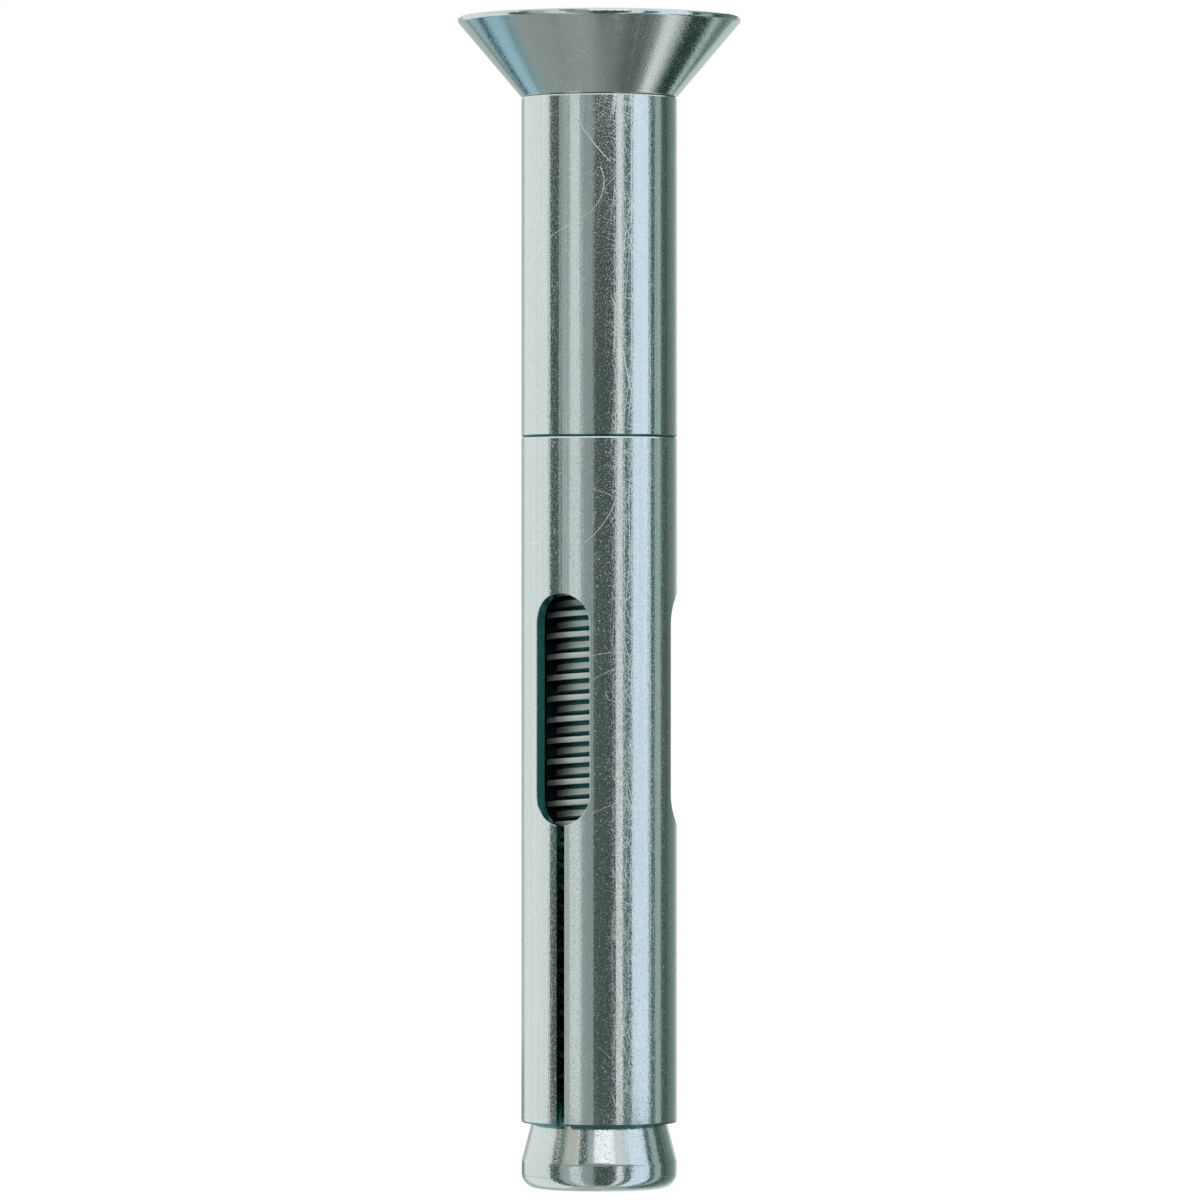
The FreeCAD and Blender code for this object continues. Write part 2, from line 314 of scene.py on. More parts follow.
def makeScrew():
    sizes = screwSizes
    shank = sizes["shankRadius"]
    rimFoot = headTop - sizes["rimHeight"]
    runout = sizes["threadTop"] + thread["crestRadius"] - shank
    bodyFoot = sizes["threadTop"] - thread["pitch"]
    body = drawProfile("screwDetailed", [
        (0, bodyFoot),
        (thread["rootRadius"] / 2, bodyFoot),
        (shank, sizes["threadTop"] - sizes["buried"]),
        (shank, shoulderHeight),
        (sleeveRadius, shoulderHeight),
        *guardsOf((sleeveRadius, shoulderHeight), (headRadius, rimFoot), sizes["guardGap"]),
        (headRadius, rimFoot),
        (headRadius, headTop),
        (0, headTop),
    ])
    roundCorner(body, shank, shoulderHeight, sizes["neckRound"], segments=6)
    roundCorner(body, sleeveRadius, shoulderHeight, sizes["shoulderRound"], segments=3)
    roundCorner(body, headRadius, rimFoot, sizes["rimFootRound"], segments=4)
    roundCorner(body, headRadius, headTop, sizes["rimRound"], segments=8)
    spinRound(body, sizes["steps"])
    clear = thread["edgeRound"]  # the envelope clears the crests by this and ends inside the shank
    crest = thread["crestRadius"]
    envelope = drawProfile("threadEnvelope", [
        (0, tipHeight),
        (crest - sizes["tipBevel"], tipHeight),
        (crest + clear, tipHeight + sizes["tipBevel"] + clear),
        (crest + clear, sizes["threadTop"]),
        (shank - clear, runout),
        (0, runout),
    ])
    spinRound(envelope, sizes["steps"])
    spare = thread["pitch"] / 2
    threaded = windThread("threaded", tipHeight - spare, runout + spare)
    combine(threaded, envelope, "INTERSECT")
    combine(body, threaded, "UNION")
    for turned in (0, math.pi / 2):
        combine(body, makeWingCutter(turned), "DIFFERENCE")
    combine(body, makeCoreCutter(), "DIFFERENCE")
    smoothByAngle(body, sizes["smoothAngle"])
    return body


# The cone nut: turned outside, threaded bore

nutSizes = {
    "land": 1.6 * mm,
    "corner": 0.9 * mm,
    "topRadius": 3.725 * mm,
    "minorRadius": 2.64 * mm,
    "mouthRadius": 3.525 * mm,
    "threadClearance": 0.05 * mm,
    "edgeRound": 0.04 * mm,
    "guardGap": 0.07 * mm,
    "steps": 256,
    "smoothAngle": 32,
}


def makeNut():
    sizes = nutSizes
    mouth = sizes["mouthRadius"]
    minor = sizes["minorRadius"]
    leadIn = mouth - minor
    nut = drawProfile("coneNutDetailed", [
        (minor, leadIn),
        (mouth, 0),
        (nutRadius, 0),
        *guardsOf((nutRadius, sizes["corner"]), (nutRadius, sizes["land"]), sizes["guardGap"]),
        (nutRadius, sizes["land"]),
        *guardsOf((nutRadius, sizes["land"]), (sizes["topRadius"], nutHigh.z), sizes["guardGap"]),
        (sizes["topRadius"], nutHigh.z),
        (mouth, nutHigh.z),
        (minor, nutHigh.z - leadIn),
        (minor, leadIn),
    ])
    roundCorner(nut, nutRadius, 0, sizes["corner"], segments=14)
    roundCorner(nut, nutRadius, sizes["land"], sizes["edgeRound"], segments=2)
    spinRound(nut, sizes["steps"])
    spare = thread["pitch"]
    tap = windThread("tap", -spare, nutHigh.z + spare, growth=sizes["threadClearance"])
    combine(nut, tap, "DIFFERENCE")
    smoothByAngle(nut, sizes["smoothAngle"])
    return nut


# The sleeves: cut flat from sheet, then rolled

sheetSizes = {
    "wall": 0.6 * mm,
    "endRound": 0.12 * mm,
    "slotRound": 0.03 * mm,
    "seamGap": 0.15 * mm,
    "strips": 240,
    "seamAngle": 120.0,  # degrees round from +X
    "rolledSeamAngle": 90.0,  # where rolling leaves the seam
    "sharpAngle": 60,
    "smoothAngle": 15,
}
cutThrough = 4 * sheetSizes["wall"]  # the cutters' depth across the sheet

slotSizes = {
    "angles": (-120.0, 0.0),  # degrees round from +X
    "width": 3.8 * mm,  # along the outside of the rolled sleeve
    "length": 14.0 * mm,
    "aboveMouth": 18.1 * mm,
    "slitWidth": 0.5 * mm,
    "roundSteps": 64,
    "paintedLitInside": 62,  # the inside is given painted light this many degrees to each side of a slot
}


# where an angle round the sleeve lies along the flat sheet, whose middle is opposite the seam
def alongSheet(angle, middleRadius):
    fromMiddle = (angle - sheetSizes["seamAngle"]) % 360 - 180
    return math.radians(fromMiddle) * middleRadius


def makeSlotCutter(centre, bottom, width):
    rise = slotSizes["width"] / 2
    clearSelection()
    bpy.ops.mesh.primitive_cylinder_add(
        vertices=slotSizes["roundSteps"], radius=rise, depth=cutThrough,
        location=(centre, 0, bottom + rise), rotation=(math.pi / 2, 0, 0))
    piece = nameAndPlace("slotCutter")
    editPiece(piece)
    pick(piece, "VERT", lambda point: point.co.z > bottom + rise + sameSpot)
    stretch = slotSizes["length"] - slotSizes["width"]
    bpy.ops.transform.translate(value=(0, 0, stretch))
    bpy.ops.mesh.select_all(action="SELECT")
    bpy.ops.transform.resize(value=(width / slotSizes["width"], 1, 1), center_override=(centre, 0, 0))
    bpy.ops.object.mode_set(mode="OBJECT")
    return piece


def makeSlitCutter(centre, low, high):
    clearSelection()
    bpy.ops.mesh.primitive_cube_add(
        size=1, location=(centre, 0, (low + high) / 2),
        scale=(slotSizes["slitWidth"], cutThrough, high - low))
    return nameAndPlace("slitCutter")


def liesAtEnd(edge, low, high):
    heights = [point.co.z for point in edge.verts]
    return max(heights) < low + nearSpot or min(heights) > high - nearSpot


# rounds the sharp edges that pass a test
def softenEdges(piece, size, segments, test):
    sharp = math.radians(sheetSizes["sharpAngle"])
    pick(piece, "EDGE", lambda edge: edge.calc_face_angle(0) > sharp and test(edge))
    bpy.ops.mesh.bevel(offset=size, offset_type="OFFSET", segments=segments, affect="EDGES")


def makeSleeve(name, low, high, slotted):
    sizes = sheetSizes
    middleRadius = sleeveRadius - sizes["wall"] / 2
    length = 2 * math.pi * middleRadius - sizes["seamGap"]
    clearSelection()
    bpy.ops.mesh.primitive_cube_add(
        size=1, location=(0, 0, (low + high) / 2), scale=(length, sizes["wall"], high - low))
    sheet = nameAndPlace(name)
    if slotted:
        flatWidth = slotSizes["width"] * middleRadius / sleeveRadius
        slotFoot = low + slotSizes["aboveMouth"]
        for angle in slotSizes["angles"]:
            centre = alongSheet(angle, middleRadius)
            slitTop = slotFoot + slotSizes["width"] / 4
            combine(sheet, makeSlotCutter(centre, slotFoot, flatWidth), "DIFFERENCE")
            combine(sheet, makeSlitCutter(centre, low - sizes["wall"], slitTop), "DIFFERENCE")
    editPiece(sheet)
    softenEdges(sheet, sizes["slotRound"], segments=1, test=lambda edge: not liesAtEnd(edge, low, high))
    softenEdges(sheet, sizes["endRound"], segments=2, test=lambda edge: liesAtEnd(edge, low, high))
    step = length / sizes["strips"]
    for number in range(1, sizes["strips"]):
        bpy.ops.mesh.select_all(action="SELECT")
        bpy.ops.mesh.bisect(
            plane_co=(number * step - length / 2, 0, 0), plane_no=(1, 0, 0), threshold=sameSpot)
    bpy.ops.object.mode_set(mode="OBJECT")
    rolling = sheet.modifiers.new("rolling", "SIMPLE_DEFORM")
    rolling.deform_method = "BEND"
    rolling.deform_axis = "Z"
    rolling.angle = length / middleRadius
    applyAll(sheet)
    sheet.location.y = -middleRadius
    workOn(sheet)
    bpy.ops.object.transform_apply(location=True)
    sheet.rotation_euler.z = math.radians(sizes["seamAngle"] - sizes["rolledSeamAngle"])
    bpy.ops.object.transform_apply(rotation=True)
    editPiece(sheet)
    bpy.ops.mesh.normals_make_consistent(inside=False)
    bpy.ops.object.mode_set(mode="OBJECT")
    smoothByAngle(sheet, sizes["smoothAngle"])
    return sheet


# Zinc plating: bright metal with a fine grain, hairlines and a faint drift of colour

def addNode(tree, kind, settings=None, inputs=None):
    node = tree.nodes.new(kind)
    for key, value in (settings or {}).items():
        setattr(node, key, value)
    for key, value in (inputs or {}).items():
        if isinstance(value, bpy.types.NodeSocket):
            tree.links.new(value, node.inputs[key])
        else:
            node.inputs[key].default_value = value
    return node


def addMath(tree, operation, *values):
    return addNode(tree, "ShaderNodeMath", {"operation": operation}, dict(enumerate(values))).outputs[0]


def addVectorMath(tree, operation, *values):
    node = addNode(tree, "ShaderNodeVectorMath", {"operation": operation}, dict(enumerate(values)))
    return node.outputs["Value" if operation in ("LENGTH", "DOT_PRODUCT") else "Vector"]


# carries a value from one stretch, (low, high), over to another, and holds it inside that
def addRange(tree, value, before, after=(0.0, 1.0), interpolation="LINEAR"):
    return addNode(tree, "ShaderNodeMapRange", {"interpolation_type": interpolation}, {
        "Value": value, "From Min": before[0], "From Max": before[1],
        "To Min": after[0], "To Max": after[1]}).outputs[0]


def addMix(tree, factor, first, second):
    return addNode(tree, "ShaderNodeMix", {"data_type": "RGBA"}, {
        "Factor": factor, 6: first, 7: second}).outputs[2]


def addStronger(tree, first, second):
    return addMath(tree, "MAXIMUM", first, second)


def addBump(tree, height, depth, below=None, inward=False):
    inputs = {"Strength": 1.0, "Distance": depth, "Height": height}
    if below is not None:
        inputs["Normal"] = below
    return addNode(tree, "ShaderNodeBump", {"invert": inward}, inputs).outputs[0]


def addNoise(tree, where, noise):
    return addNode(tree, "ShaderNodeTexNoise", inputs={
        "Vector": where, "Scale": 1 / noise["size"], "Detail": noise["detail"],
        "Roughness": noise["roughness"]}).outputs


# noise on the flat sheet, stretched along it: gap is its size across, run its size along
def addStretchedNoise(tree, flat, noise):
    squeezed = addNode(tree, "ShaderNodeMapping", inputs={
        "Vector": flat, "Scale": (1 / noise["gap"], 1 / noise["run"], 1)}).outputs[0]
    return addNode(tree, "ShaderNodeTexNoise", {"noise_dimensions": "2D"}, {
        "Vector": squeezed, "Scale": 1.0, "Detail": noise["detail"],
        "Roughness": noise["roughness"]}).outputs["Fac"]


# keeps the peaks of a noise: 0 up to the level, 1 from a little above it
def keepPeaks(tree, value, level, softness):
    return addRange(tree, value, (level, level + softness), interpolation="SMOOTHSTEP")


# arc length and height on the round surface, so that marks can run in any direction on it;
# on cones and level faces the distance from the axis is added to the height
def addRolledCoordinates(tree):
    where = addNode(tree, "ShaderNodeTexCoord").outputs["Object"]
    axes = addNode(tree, "ShaderNodeSeparateXYZ", inputs={0: where}).outputs
    arc = addMath(tree, "MULTIPLY", addMath(tree, "ARCTAN2", axes["Y"], axes["X"]), sleeveRadius)
    level = addNode(tree, "ShaderNodeCombineXYZ", inputs={0: axes["X"], 1: axes["Y"]}).outputs[0]
    beyond = addMath(tree, "SUBTRACT", addVectorMath(tree, "LENGTH", level), sleeveRadius)
    height = addMath(tree, "ADD", axes["Z"], beyond)
    flat = addNode(tree, "ShaderNodeCombineXYZ", inputs={0: arc, 1: height}).outputs[0]
    return where, flat


# 1 in the stripe along the sleeves' front that has rubbed against other anchors, 0 away from it
def addRubbedStripe(tree, flat):
    across = addNode(tree, "ShaderNodeSeparateXYZ", inputs={0: flat}).outputs["X"]
    half = rubbedStripe["half"]
    gap = addMath(tree, "SUBTRACT", across, frontArc + rubbedStripe["middle"])
    return addRange(tree, addMath(tree, "ABSOLUTE", gap), (half / 2, half), (1.0, 0.0), "SMOOTHSTEP")


# thin lines: noise stretched along one direction, of which only the peaks are kept
def addHairlines(tree, flat, lines, lift):
    turned = addNode(tree, "ShaderNodeMapping", inputs={
        "Vector": flat, "Rotation": (0, 0, math.radians(lines["lean"])),
        "Location": (lines["shift"], 0, 0)}).outputs[0]
    noise = addStretchedNoise(tree, turned, {**hairline, **lines})
    return keepPeaks(tree, addMath(tree, "ADD", noise, lift), lines["few"], hairline["softness"])


# one scratch: a thin arc between two points on the rolled surface, bulging by its sag
def addScratch(tree, flat, scratch):
    start = Vector((*scratch["from"], 0)) * mm
    end = Vector((*scratch["to"], 0)) * mm
    sag = scratch["sag"] * mm
    width = scratch["width"] * mm
    half = (end - start).length / 2
    radius = (half * half + sag * sag) / (2 * abs(sag))
    along = (end - start).normalized()
    across = Vector((-along.y, along.x, 0)) * math.copysign(1, sag)
    centre = (start + end) / 2 + across * (abs(sag) - radius)
    away = addVectorMath(tree, "SUBTRACT", flat, centre + Vector((frontArc, 0, 0)))
    gap = addMath(tree, "SUBTRACT", addVectorMath(tree, "LENGTH", away), radius)
    line = addRange(tree, addMath(tree, "ABSOLUTE", gap), (width / 2, width), (1.0, 0.0))
    bulge = addVectorMath(tree, "DOT_PRODUCT", away, across)
    within = addMath(tree, "GREATER_THAN", bulge, radius - abs(sag))
    return addMath(tree, "MULTIPLY", line, within)


frontArc = math.radians(viewerAngle) * sleeveRadius  # where the sleeves' front line is unrolled

# each noise's size, how many finer layers it has, and how strong they are
noises = {
    "drift": {"size": 6 * mm, "detail": 3.0, "roughness": 0.5},
    "grain": {"size": 0.13 * mm, "detail": 2.0, "roughness": 0.55},
    "specks": {"size": 0.075 * mm, "detail": 1.0, "roughness": 0.6},
    "dots": {"size": 0.12 * mm, "detail": 0.0, "roughness": 0.5},
    "patches": {"size": 3 * mm, "detail": 2.0, "roughness": 0.5},
    "warp": {"size": 9 * mm, "detail": 1.0, "roughness": 0.5},
}
drawnNoise = {"gap": 0.22 * mm, "run": 60 * mm, "detail": 2.0, "roughness": 0.6}

plating = {
    "roughnessSpread": 0.05,
    "scratchRoughness": 0.24,  # scratches are this much duller than the plating
    "noiseRange": (0.3, 0.7),  # nearly all of a noise lies between these
    "patchRange": (0.4, 0.62),
    "speckRange": (0.50, 0.76),
    "dotLevel": 0.75,
    "dotSoftness": 0.04,
    "warpReach": 1.6 * mm,
}

hairline = {"detail": 0.0, "roughness": 0.5, "softness": 0.05}
hairlineSets = [
    {"lean": 4, "gap": 0.08 * mm, "run": 7 * mm, "few": 0.765, "shift": 0.011},
    {"lean": -22, "gap": 0.075 * mm, "run": 3.2 * mm, "few": 0.785, "shift": 0.047},
    {"lean": 48, "gap": 0.07 * mm, "run": 2.0 * mm, "few": 0.80, "shift": 0.083},
    {"lean": -66, "gap": 0.07 * mm, "run": 1.6 * mm, "few": 0.805, "shift": 0.019},
]

# more hairlines show here; its middle lies to the right of the sleeves' front line
rubbedStripe = {"middle": 1.5 * mm, "half": 1.1 * mm, "lift": 0.06}

# scratches on the front of the sleeves: (to the right of the middle, height) in mm along the surface
scratches = [
    {"from": (-1.37, 64.6), "to": (0.66, 62.07), "sag": -0.08, "width": 0.03},
    {"from": (0.05, 61.76), "to": (-0.13, 59.52), "sag": 0.33, "width": 0.032},
    {"from": (-0.13, 59.52), "to": (-0.74, 58.91), "sag": 0.05, "width": 0.032},
    {"from": (-0.74, 58.91), "to": (-2.5, 57.94), "sag": 0.05, "width": 0.028},
    {"from": (-2.5, 57.94), "to": (-5.2, 55.87), "sag": -0.1, "width": 0.022},
    {"from": (1.09, 53.26), "to": (2.06, 47.98), "sag": -0.1, "width": 0.03},
    {"from": (1.7, 57.2), "to": (2.6, 55.0), "sag": 0.2, "width": 0.022},
    {"from": (1.09, 41.97), "to": (-0.93, 39.1), "sag": 0.3, "width": 0.035},
    {"from": (-0.3, 42.3), "to": (0.85, 41.85), "sag": 0.05, "width": 0.02},
    {"from": (-0.35, 40.2), "to": (-0.2, 41.0), "sag": 0.05, "width": 0.02},
    {"from": (-5.3, 39.1), "to": (-3.8, 39.0), "sag": 0.04, "width": 0.02},
    {"from": (-0.45, 32.3), "to": (0.9, 32.5), "sag": 0.03, "width": 0.02},
    {"from": (-0.3, 30.9), "to": (1.0, 31.5), "sag": 0.05, "width": 0.018},
    {"from": (0.5, 30.2), "to": (0.75, 29.6), "sag": -0.2, "width": 0.02},
    {"from": (-0.4, 22.8), "to": (1.2, 23.5), "sag": 0.03, "width": 0.022},
    {"from": (0.1, 8.6), "to": (0.7, 8.0), "sag": 0.05, "width": 0.022},
]


# hairlines where the plating is worn, and the finish's own scratches
def addMarks(tree, where, flat, finish):
    warp = addNoise(tree, where, noises["warp"])["Color"]
    curved = addVectorMath(tree, "MULTIPLY_ADD", warp, [plating["warpReach"]] * 3, flat)
    rubbed = addMath(tree, "MULTIPLY", addRubbedStripe(tree, flat), finish["rubbed"])
    lift = addMath(tree, "MULTIPLY", rubbed, rubbedStripe["lift"])
    hairs = addHairlines(tree, curved, hairlineSets[0], lift)
    for lines in hairlineSets[1:]:
        hairs = addStronger(tree, hairs, addHairlines(tree, curved, lines, lift))
    patches = addNoise(tree, where, noises["patches"])["Fac"]
    worn = addRange(tree, patches, plating["patchRange"], (finish["wear"] / 2, finish["wear"]))
    marks = addMath(tree, "MULTIPLY", hairs, addStronger(tree, worn, rubbed))
    for scratch in finish["scratches"]:
        marks = addStronger(tree, marks, addScratch(tree, flat, scratch))
    return marks


def addColour(tree, where, drawn, bright, finish):
    drift = addNoise(tree, where, noises["drift"])["Fac"]
    tint = addMix(tree, drift, finish["colour"], finish["coolColour"])
    half = finish["drawnShade"] / 2
    shade = addRange(tree, drawn, plating["noiseRange"], (1 - half, 1 + half))
    lined = addNode(tree, "ShaderNodeVectorMath", {"operation": "SCALE"}, {0: tint, "Scale": shade})
    return addMix(tree, bright, lined.outputs[0], finish["scratchColour"])


def addRoughness(tree, grain, specks, marks, finish):
    spread = (finish["roughness"], finish["roughness"] + plating["roughnessSpread"])
    rough = addRange(tree, grain, plating["noiseRange"], spread)
    rough = addMath(tree, "MULTIPLY_ADD", specks, finish["speckRoughness"], rough)
    return addMath(tree, "MULTIPLY_ADD", marks, plating["scratchRoughness"], rough)


def makePlating(name, finish):
    material = bpy.data.materials.new(name)
    material.use_nodes = True
    tree = material.node_tree
    where, flat = addRolledCoordinates(tree)
    marks = addMarks(tree, where, flat, finish)
    grain = addNoise(tree, where, noises["grain"])["Fac"]
    drawn = addStretchedNoise(tree, flat, drawnNoise)
    dots = addNoise(tree, where, noises["dots"])["Fac"]
    dots = keepPeaks(tree, dots, plating["dotLevel"], plating["dotSoftness"])
    dots = addMath(tree, "MULTIPLY", dots, finish["dots"])
    specks = addRange(tree, addNoise(tree, where, noises["specks"])["Fac"], plating["speckRange"])
    specks = addStronger(tree, specks, dots)
    colour = addColour(tree, where, drawn, addStronger(tree, marks, dots), finish)
    rough = addRoughness(tree, grain, specks, marks, finish)
    bump = addBump(tree, drawn, finish["drawnDepth"])
    bump = addBump(tree, grain, finish["grainDepth"], bump)
    bump = addBump(tree, marks, finish["markDepth"], bump, inward=True)
    shader = tree.nodes["Principled BSDF"]
    shader.inputs["Metallic"].default_value = 1.0
    for socket, value in (("Base Color", colour), ("Roughness", rough), ("Normal", bump)):
        tree.links.new(value, shader.inputs[socket])
    return material


# Pieces, their finish and what they ride on

# wear and rubbed say how strong the hairlines are, and dots how bright the dots are
sheetFinish = {
    "colour": (0.62, 0.67, 0.655, 1),
    "coolColour": (0.60, 0.665, 0.675, 1),
    "scratchColour": (0.95, 0.96, 0.94, 1),
    "grainDepth": 0.004 * mm,
    "markDepth": 0.0015 * mm,
    "drawnDepth": 0.005 * mm,
    "drawnShade": 0.12,
    "roughness": 0.06,
    "speckRoughness": 0.30,  # specks are this much duller than the plating
    "wear": 0.33,
    "rubbed": 0.7,
    "dots": 0.6,
    "scratches": scratches,
}
lowerFinish = {**sheetFinish, "speckRoughness": 0.42, "dots": 0.85}
steelFinish = {
    **sheetFinish,
    "drawnDepth": 0.001 * mm,
    "drawnShade": 0.0,
    "roughness": 0.05,
    "speckRoughness": 0.2,
    "wear": 0.35,
    "rubbed": 0.0,
    "dots": 0.0,
    "scratches": [],
}
nutFinish = {**steelFinish, "speckRoughness": 0.45, "dots": 0.5}
# pale as painted light on the thread's flats and on the inside by the slots; the higher roughness is the
# crests' matt rolled finish
paintedLitFinish = {
    **steelFinish,
    "colour": (0.93, 0.93, 0.88, 1),
    "coolColour": (0.88, 0.90, 0.87, 1),
    "roughness": 0.55,
    "speckRoughness": 0.0,
}
# dark teal as painted shade on the thread's flanks and the sleeves' lower ends
paintedShadeTealFinish = {
    **paintedLitFinish,
    "colour": (0.09, 0.25, 0.25, 1),
    "coolColour": (0.07, 0.22, 0.23, 1),
    "scratchColour": (0.16, 0.32, 0.32, 1),
    "roughness": 0.25,
}
# near black as painted shade inside the sleeves
paintedShadeInsideFinish = {
    **paintedLitFinish,
    "colour": (0.04, 0.06, 0.06, 1),
    "coolColour": (0.03, 0.055, 0.06, 1),
    "scratchColour": (0.05, 0.08, 0.08, 1),
    "roughness": 0.30,
}
# teal as a painted reflection of the thread on the slot walls
paintedReflectionWallFinish = {
    **paintedLitFinish,
    "colour": (0.12, 0.48, 0.46, 1),
    "coolColour": (0.09, 0.42, 0.42, 1),
    "scratchColour": (0.2, 0.7, 0.7, 1),
    "roughness": 0.21,
}
sheetPlating = makePlating("zincPlatedSheet", sheetFinish)
lowerPlating = makePlating("zincPlatedLowerSheet", lowerFinish)
steelPlating = makePlating("zincPlatedSteel", steelFinish)
nutPlating = makePlating("zincPlatedNut", nutFinish)
# painted light: the pale finish of the thread's flats and of the inside by the slots
paintedLitPale = makePlating("paintedLitPale", paintedLitFinish)
# painted shade: the dark teal of the thread's flanks and the sleeves' lower ends
paintedShadeTeal = makePlating("paintedShadeTeal", paintedShadeTealFinish)
# painted shade: the near-black inside of the sleeves
paintedShadeInside = makePlating("paintedShadeInside", paintedShadeInsideFinish)
# painted reflection: the teal of the slot walls
paintedReflectionWalls = makePlating("paintedReflectionWalls", paintedReflectionWallFinish)


# gives the faces of a finished piece that pass a test a finish of their own
def finishFaces(piece, material, test):
    piece.data.materials.append(material)
    workOn(piece)
    piece.active_material_index = len(piece.data.materials) - 1
    bpy.ops.object.mode_set(mode="EDIT")
    pick(piece, "FACE", test)
    bpy.ops.object.material_slot_assign()
    bpy.ops.object.mode_set(mode="OBJECT")


# how a face leans: the share of its normal that points up, or away from the axis for edgeOn
leans = {"flank": 0.35, "foot": -0.3, "edgeOn": 0.3}
innerSkin = 0.06 * mm  # faces this near the sheet's inner side belong to it


def isThread(face):
    middle = face.calc_center_median()
    clearOfEnds = tipHeight + thread["pitch"] < middle.z < screwSizes["threadTop"]
    return clearOfEnds and middle.xy.length > thread["rootRadius"] / 2


def isThreadFlank(face):
    return isThread(face) and abs(face.normal.z) > leans["flank"]


# the lower ends of the sleeves, which are given the thread flanks' dark teal as painted shade
def isFoot(face):
    return face.normal.z < leans["foot"]


def isSheetInside(face):
    middle = face.calc_center_median()
    near = middle.xy.length < sleeveRadius - sheetSizes["wall"] + innerSkin
    return near and face.normal.xy.dot(middle.xy) < 0


# the inside near a slot, which is given the pale finish as painted light for the light that comes in
# there
def isInsideBySlot(face):
    middle = face.calc_center_median()
    turned = math.degrees(math.atan2(middle.y, middle.x))
    nearest = min(abs((turned - angle + 180) % 360 - 180) for angle in slotSizes["angles"])
    return isSheetInside(face) and nearest < slotSizes["paintedLitInside"]


# the walls of the slots and slits, clear of the sleeve's own ends and of its seam
def isSlotWall(face):
    middle = face.calc_center_median()
    clearOfEnds = mouthHeight + sheetSizes["endRound"] < middle.z < jointHeight - slotSizes["width"]
    return clearOfEnds and abs(face.normal.xy.dot(middle.xy.normalized())) < leans["edgeOn"]


def dress(piece, material, node, body):
    piece.data.materials.clear()
    piece.data.materials.append(material)
    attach(piece, body)
    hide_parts(node)
    print(piece.name, "has", len(piece.data.polygons), "faces")


screw = makeScrew()
dress(screw, steelPlating, "screw", "screw")
# the thread's flats are painted pale as painted light
finishFaces(screw, paintedLitPale, isThread)
# the thread's flanks are painted dark teal as painted shade
finishFaces(screw, paintedShadeTeal, isThreadFlank)
nut = makeNut()
dress(nut, nutPlating, "cone_nut", "nut")
spacer = makeSleeve("spacerSleeveRolled", jointHeight, shoulderHeight, False)
dress(spacer, sheetPlating, "spacer_sleeve", "sleeves")
expansion = makeSleeve("expansionSleeveRolled", mouthHeight, jointHeight, True)
dress(expansion, lowerPlating, "expansion_sleeve", "sleeves")
for sleeve in (spacer, expansion):
    # the sleeves' inside is painted near black as painted shade
    finishFaces(sleeve, paintedShadeInside, isSheetInside)
    # the sleeves' lower ends are painted dark teal as painted shade
    finishFaces(sleeve, paintedShadeTeal, isFoot)
# the inside by the slots is painted pale as painted light
finishFaces(expansion, paintedLitPale, isInsideBySlot)
# the slot walls are painted teal as a painted reflection
finishFaces(expansion, paintedReflectionWalls, isSlotWall)


# The studio: a white world, a white floor, and grey cards that only reflections see

studio = {
    "radius": 0.25,  # the cards stand this far from the anchor
    "cardLow": -0.04,
    "cardHigh": 0.094,
    "upperHigh": 0.19,
    "edgeHigh": -0.005,
    "edgeNearer": 5 * mm,  # the edge card stands this far inside the others
    "stripHeight": -0.008,  # the plane that the strips are measured on
    "stripFront": -0.03,
    "stripBack": 0.23,
    "innerStrips": 0.076,
    "innerBack": 0.06,
    # the outer strips lie on slopes that fall away from the nut, which sees them edge on
    "headHeight": 0.068,
    "slopeTop": 0.0005,
    "slope": 0.2,
    "sectorHeight": -0.04,
    "sectorInner": 0.003,
    "sectorSoft": 0.018,
    "softTone": (0.45, 0.50, 0.48),
    "softness": 0.8,
    # the middle strips lie on a plate between what the nut and the sleeve see
    "plateHeight": 0.002,
    "plateBack": -0.006,
    "plateLeft": -0.036,
    "plateRight": 0.032,
    "plateScale": 0.868,
    "degreesPerStep": 3,
    "floorHalf": 0.6,
    "floorGrey": 0.2,
    "floorGlow": 0.86,
}

# azimuth in degrees from the viewer, positive to the right, and each card's plain colour
standingCards = [
    {"name": "cardFarLeft", "turn": (-180, -146), "tone": (0.52, 0.57, 0.55)},
    {"name": "cardWhiteLeft", "turn": (-146, -78), "tone": (0.97, 1.0, 0.99)},
    {"name": "cardLeft", "turn": (-78, -60), "tone": (0.085, 0.12, 0.11)},
    {"name": "cardLeftGrey", "turn": (-60, -44), "tone": (0.43, 0.50, 0.49)},
    {"name": "cardLeftPale", "turn": (-44, -27), "tone": (0.86, 0.90, 0.88)},
    {"name": "cardFrontGrey", "turn": (-27, -8), "tone": (0.35, 0.41, 0.40)},
    {"name": "cardFront", "turn": (-8, 25), "tone": (0.078, 0.104, 0.092)},
    {"name": "cardRightWhite", "turn": (25, 36), "tone": (1.0, 1.02, 1.04)},
    {"name": "cardRightDark", "turn": (36, 49), "tone": (0.09, 0.18, 0.17)},
    {"name": "cardRightSky", "turn": (49, 80), "tone": (0.94, 1.05, 1.17)},
    {"name": "cardRightTeal", "turn": (80, 90), "tone": (0.06, 0.15, 0.145)},
    {"name": "cardRightGrey", "turn": (90, 104), "tone": (0.46, 0.54, 0.52)},
    {"name": "cardBackRight", "turn": (104, 121), "tone": (0.075, 0.12, 0.10)},
    {"name": "cardBackGrey", "turn": (121, 134), "tone": (0.18, 0.22, 0.18)},
    {"name": "cardBackPale", "turn": (134, 152), "tone": (0.25, 0.34, 0.32)},
    {"name": "cardBackLight", "turn": (152, 180), "tone": (0.62, 0.70, 0.68)},
]

